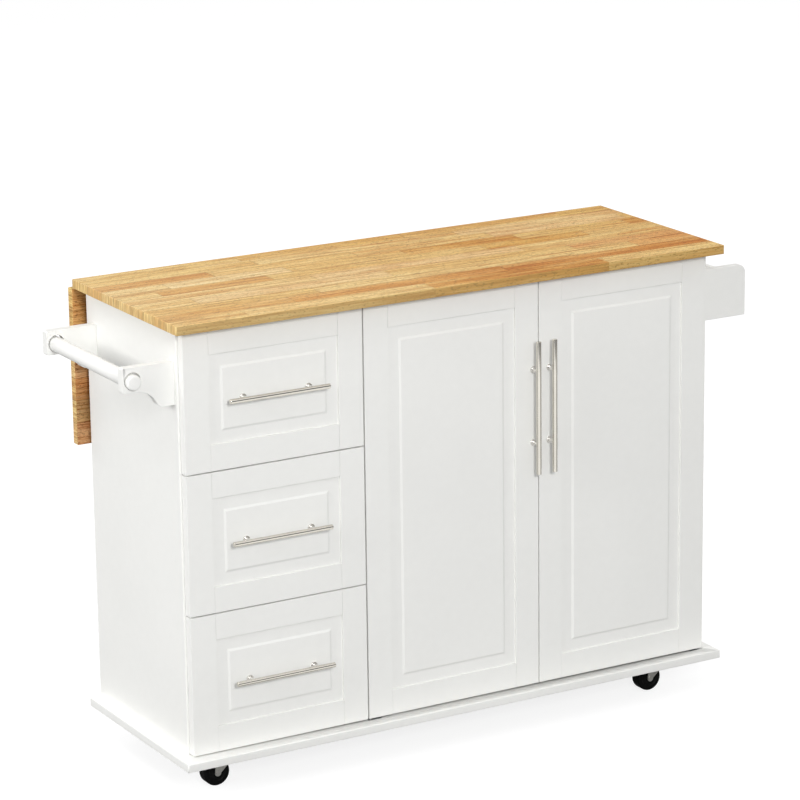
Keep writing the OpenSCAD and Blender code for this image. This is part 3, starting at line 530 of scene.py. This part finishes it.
ROD_EASE = 3.5 * MM
low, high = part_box("towel_rod")
mid = (low + high) / 2
bm = bmesh.new()
rod(bm, Vector((mid.x, low.y, mid.z)), Vector((mid.x, high.y, mid.z)), (high.x - low.x) / 2,
    ROD_EASE, 96)
place(bm, "towel_rod_look", "cabinet", WHITE, ("towel_rod",))

BAR_R = 5 * MM
END_EASE = 0.8 * MM
# A post starts inside the bar and widens in a small fillet to its foot
POST_R = 4 * MM
POST_START = BAR_R - 1.2 * MM
FILLET = 1.0 * MM
FOOT_R = 7 * MM
FOOT_TALL = 3 * MM
# A post's distance from the bar's middle
DRAWER_POST = 68.5 * MM
DOOR_POST = 72.5 * MM


def handle(node, along, post, metal):
    """A bar handle whose posts end in a small stepped foot. along is the bar's axis."""
    low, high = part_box(node)
    mid = (low + high) / 2
    direction = Vector((1, 0, 0)) if along == "x" else Vector((0, 0, 1))
    half = (high - low).dot(direction) / 2
    centre = Vector((mid.x, low.y + BAR_R, mid.z))
    bm = bmesh.new()
    rod(bm, centre - direction * half, centre + direction * half, BAR_R, END_EASE)
    place(bm, node + "_bar", BODY_OF[node], metal, (node,))

    reach = high.y - centre.y
    neck = reach - FOOT_TALL
    profile = [(POST_START, 0.0), (POST_START, POST_R), (neck - FILLET, POST_R)]
    profile += arc(neck - FILLET, POST_R + FILLET, FILLET, -90, 0, 4)[1:]
    profile += arc(neck + END_EASE, FOOT_R - END_EASE, END_EASE, 180, 90, 5)
    profile += [(reach, FOOT_R), (reach, 0.0)]
    bm = bmesh.new()
    for end in (-1, 1):
        lathe(bm, profile, centre + direction * post * end, (0, 1, 0), 40)
    place(bm, node + "_posts", BODY_OF[node], SATIN, (node,), 0.15 * MM, 1, 50)


for row in ROWS:
    handle(row + "_drawer_handle", "x", DRAWER_POST, NICKEL_X)
for side in SIDES:
    handle(side + "_door_handle", "z", DOOR_POST, NICKEL_Z)


# ---------------------------------------------------------------- casters

# A wheel's side from the bore outwards, in millimetres: depth below its face, and radius
WHEEL_SIDE = ((0, 3.6), (0, 7.2), (0.6, 7.8), (1.2, 8.6), (1.2, 16.0), (0.3, 17.2), (0, 18.0))
SHOULDER = 3.0 * MM
PARTING_HALF, PARTING_DEEP = 0.9 * MM, 0.25 * MM


def wheel(node):
    """A wheel with a flat tread, a fine parting line, shallow dished sides and a hub."""
    low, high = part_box(node)
    mid = (low + high) / 2
    r = (high.z - low.z) / 2
    half = (high.y - low.y) / 2
    side = [(half - depth * MM, radius * MM) for depth, radius in WHEEL_SIDE]
    side += arc(half - SHOULDER, r - SHOULDER, SHOULDER, 0, 90, 8)
    side += [(PARTING_HALF, r), (0.0, r - PARTING_DEEP)]
    bm = bmesh.new()
    rings = lathe(bm, side + [(-a, b) for a, b in reversed(side[:-1])], mid, (0, 1, 0), 96)
    join_rings(bm, rings[-1], rings[0])
    bmesh.ops.recalc_face_normals(bm, faces=bm.faces)
    place(bm, node + "_look", BODY_OF[node], BLACK, (node,), 0.3 * MM, angle=35)


for name in ("front_left", "front_right", "back_left", "back_right"):
    wheel(name + "_wheel")
    soften(name + "_fork", FORK_ZINC, 0.0005)


# ---------------------------------------------------------------- screws

# A head's height, the radii of its crown and its cross's arms, and half an arm's width, as
# shares of its radius
HEAD_TALL, CROWN, ARM, ARM_HALF = 0.45, 0.86, 0.62, 0.17
# The height where its side starts to round, and the recess's depth, as shares of its height
SIDE_TALL, RECESS = 0.45, 0.7
RECESS_TAPER = 0.85
HEAD_STEPS = 32


def screw_head(bm, at, axis, radius, spin):
    """A pan head with a cross recess, its seat at the given point."""
    axis, side, other = directions(axis)
    tall = radius * HEAD_TALL
    arm, wide = radius * ARM, radius * ARM_HALF

    def point(p, h):
        return bm.verts.new(at + side * p.x + other * p.y + axis * h)

    def toward(angle):
        return Vector((math.cos(angle), math.sin(angle), 0))

    def ring(size, h):
        return [point(toward(spin + 2 * math.pi * i / HEAD_STEPS) * size, h)
                for i in range(HEAD_STEPS)]

    # outline of the cross, twelve corners
    cross = []
    for quarter in range(4):
        u = toward(math.radians(90 * quarter) + spin)
        v = Vector((-u.y, u.x, 0))
        cross += [u * arm - v * wide, u * arm + v * wide, u * wide + v * wide]
    top = [point(p, tall) for p in cross]
    bottom = [point(p * RECESS_TAPER, tall - tall * RECESS) for p in cross]
    rim = ring(radius * CROWN, tall)
    edge = ring(radius, tall * SIDE_TALL)
    foot = ring(radius, 0)
    join_rings(bm, top, bottom)
    bm.faces.new(bottom)
    join_rings(bm, rim, edge)
    join_rings(bm, edge, foot)
    bm.faces.new(foot[::-1])
    edges = [bm.edges.get((loop[i], loop[(i + 1) % len(loop)]))
             for loop in (top, rim) for i in range(len(loop))]
    bmesh.ops.triangle_fill(bm, use_beauty=True, edges=edges)


def screws(name, body, spots, axis, radius):
    bm = bmesh.new()
    turn = random.Random(name)
    for spot in spots:
        screw_head(bm, Vector(spot), axis, radius, turn.uniform(0, math.pi / 2))
    bmesh.ops.recalc_face_normals(bm, faces=bm.faces)
    place(bm, name, body, ZINC)


def parts_of(node):
    """The boxes of a node's separate solids, from left to right."""
    bm = cad_shape(node)
    left = set(bm.verts)
    boxes = []
    while left:
        group = [left.pop()]
        grown = set(group)
        while group:
            vert = group.pop()
            for e in vert.link_edges:
                other = e.other_vert(vert)
                if other not in grown:
                    grown.add(other)
                    left.discard(other)
                    group.append(other)
        boxes.append([Vector([pick(v.co[i] for v in grown) for i in range(3)])
                      for pick in (min, max)])
    bm.free()
    return sorted(boxes, key=lambda box: (round(box[0].x, 4), round(box[0].y, 4)))


def holes(node, pattern, spot):
    """Where spot puts each hole of a pattern, in millimetres, on each of a node's solids."""
    return [spot(low, (low + high) / 2, across * MM, up * MM)
            for low, high in parts_of(node) for across, up in pattern]


HINGE_HOLES = ((-22, 8), (0, 18), (22, 8))
BRACKET_HOLES = ((-9, -15), (-9, 15), (9, -15), (9, 15))
PLATE = 2 * MM
screws("worktop_hinge_screws", "cabinet",
       holes("leaf_hinge_fixed_leaves", HINGE_HOLES,
             lambda low, mid, across, up: (mid.x + across, low.y + up, TOP_LOW.z)),
       (0, 0, -1), 3.4 * MM)
screws("leaf_hinge_screws", "leaf",
       holes("leaf_hinge_moving_leaves", HINGE_HOLES,
             lambda low, mid, across, up: (mid.x + across, LEAF_LOW.y, low.z + up)),
       (0, -1, 0), 3.2 * MM)
screws("stay_bracket_screws", "cabinet",
       holes("stay_brackets", BRACKET_HOLES,
             lambda low, mid, across, up: (mid.x + across, low.y + PLATE, mid.z + up)),
       (0, 1, 0), 3.2 * MM)


# ---------------------------------------------------------------- floor and world

FLOOR_HALF = 30
FLOOR_GREY = 0.26
FLOOR_SEEN = 0.82
# The doors' handles, seen from above, and the directions from them in which glossy rays alone see
# the floor
# darker, a painted reflection in metal: left of the first range and right of the second, in radians
# from straight ahead
HANDLES_X, HANDLES_Y = 0.19, -0.22
LEFT_DARK, RIGHT_DARK = (-1.30, -1.15), (0.62, 0.72)
FRONT_DARK = (-5.2, -4.4)
AMBIENT = 0.60
# How far up the world is darkened for glossy rays alone, a painted reflection in metal, and by how
# much
BAND, BAND_DARK = (0.38, 0.52), 0.88

floor_mesh = bpy.data.meshes.new("floor")
bm = bmesh.new()
bmesh.ops.create_grid(bm, x_segments=1, y_segments=1, size=FLOOR_HALF)
bm.to_mesh(floor_mesh)
bm.free()
floor = bpy.data.objects.new("floor", floor_mesh)
bpy.context.scene.collection.objects.link(floor)

g = material("floor")
g.set(Base_Color=(FLOOR_GREY, FLOOR_GREY, FLOOR_GREY, 1), Roughness=0.9, Specular_IOR_Level=0.1)
ray = g.add("ShaderNodeLightPath").outputs
x, y, _ = g.split(g.place)
# painted reflection: glossy rays alone see the floor darker far off and in two directions from the
# doors' handles, which paints dark streaks into the metal
bearing = g.math("ARCTAN2", g.minus(x, HANDLES_X), g.minus(HANDLES_Y, y))
painted_reflection_level = g.times(g.span(bearing, *LEFT_DARK, 0.05, 1.0), g.span(bearing, *RIGHT_DARK, 1.0, 0.05),
                g.span(y, *FRONT_DARK, 0.1, 1.0))
seen = g.most(g.times(ray["Is Glossy Ray"], painted_reflection_level),
              g.most(ray["Is Camera Ray"], ray["Is Transmission Ray"]))
g.set(Emission_Color=(1, 1, 1, 1), Emission_Strength=g.times(seen, FLOOR_SEEN))
floor_mesh.materials.append(g.owner)

world = bpy.data.worlds.new("studio")
bpy.context.scene.world = world
g = Graph(world, "ShaderNodeBackground", "ShaderNodeOutputWorld")
ray = g.add("ShaderNodeLightPath").outputs
rise = g.split(g.coords["Generated"])[2]
seen = g.most(ray["Is Camera Ray"], g.most(ray["Is Glossy Ray"], ray["Is Transmission Ray"]))
# painted reflection: glossy rays alone see the world darker below the band
dark = g.times(ray["Is Glossy Ray"], g.span(rise, *BAND, 1.0, 0.0), BAND_DARK)
g.set(Color=(1, 1, 1, 1),
      Strength=g.minus(g.plus(g.times(seen, 1.0 - AMBIENT), AMBIENT), dark))


# ---------------------------------------------------------------- lamps and camera

# Softboxes: where each stands, what it points at, its size and its power
LAMPS = {
    "side": ((-6.7, -0.5, 3.2), (-0.5, 0, 0.5), (2.6, 2.6), 225),
    "front": ((-1.6, -5.9, 3.2), (0, 0, 0.5), (1.2, 1.2), 189),
    "top": ((0.1, 0.8, 2.9), (0, 0, 0.9), (1.6, 1.2), 5),
    "back": ((-1.6, 5.6, 3.2), (0, 0, 0.5), (2.4, 2.4), 105),
    "right": ((6.2, 0.9, 2.6), (0.5, 0, 0.5), (2.4, 2.4), 80),
}
for name, (at, aim, size, power) in LAMPS.items():
    data = bpy.data.lights.new(name, "AREA")
    data.shape = "RECTANGLE"
    data.size, data.size_y = size
    data.energy = power
    lamp = bpy.data.objects.new(name, data)
    bpy.context.scene.collection.objects.link(lamp)
    lamp.location = at
    lamp.rotation_euler = (Vector(aim) - Vector(at)).to_track_quat("-Z", "Y").to_euler()

# The camera as it was fitted to the photograph's straight edges
AZIMUTH, ELEVATION, ROLL = (math.radians(a) for a in (-29.94, 15.387, -0.748))
DISTANCE = 6.82043
TARGET_BELOW_TOP = Vector((-8.065, 5.034, -276.517)) * MM
FOCAL_PIXELS, FRAME_PIXELS, SENSOR = 3497.68, 800, 36
TOP_MIDDLE = Vector(((TOP_LOW.x + TOP_HIGH.x) / 2, (TOP_LOW.y + TOP_HIGH.y) / 2, TOP_HIGH.z))
back = Vector((math.sin(AZIMUTH) * math.cos(ELEVATION),
               -math.cos(AZIMUTH) * math.cos(ELEVATION), math.sin(ELEVATION)))
right = Vector((math.cos(AZIMUTH), math.sin(AZIMUTH), 0))
up = back.cross(right)
turned = right * math.cos(ROLL) + up * math.sin(ROLL)
upright = up * math.cos(ROLL) - right * math.sin(ROLL)
data = bpy.data.cameras.new("camera")
data.sensor_width = SENSOR
data.lens = FOCAL_PIXELS / FRAME_PIXELS * SENSOR
data.clip_end = 100
camera = bpy.data.objects.new("camera", data)
bpy.context.scene.collection.objects.link(camera)
axes = Matrix((turned, upright, back)).transposed().to_4x4()
camera.matrix_world = Matrix.Translation(TOP_MIDDLE + TARGET_BELOW_TOP + back * DISTANCE) @ axes
bpy.context.scene.camera = camera
bpy.context.scene.view_settings.view_transform = "Standard"
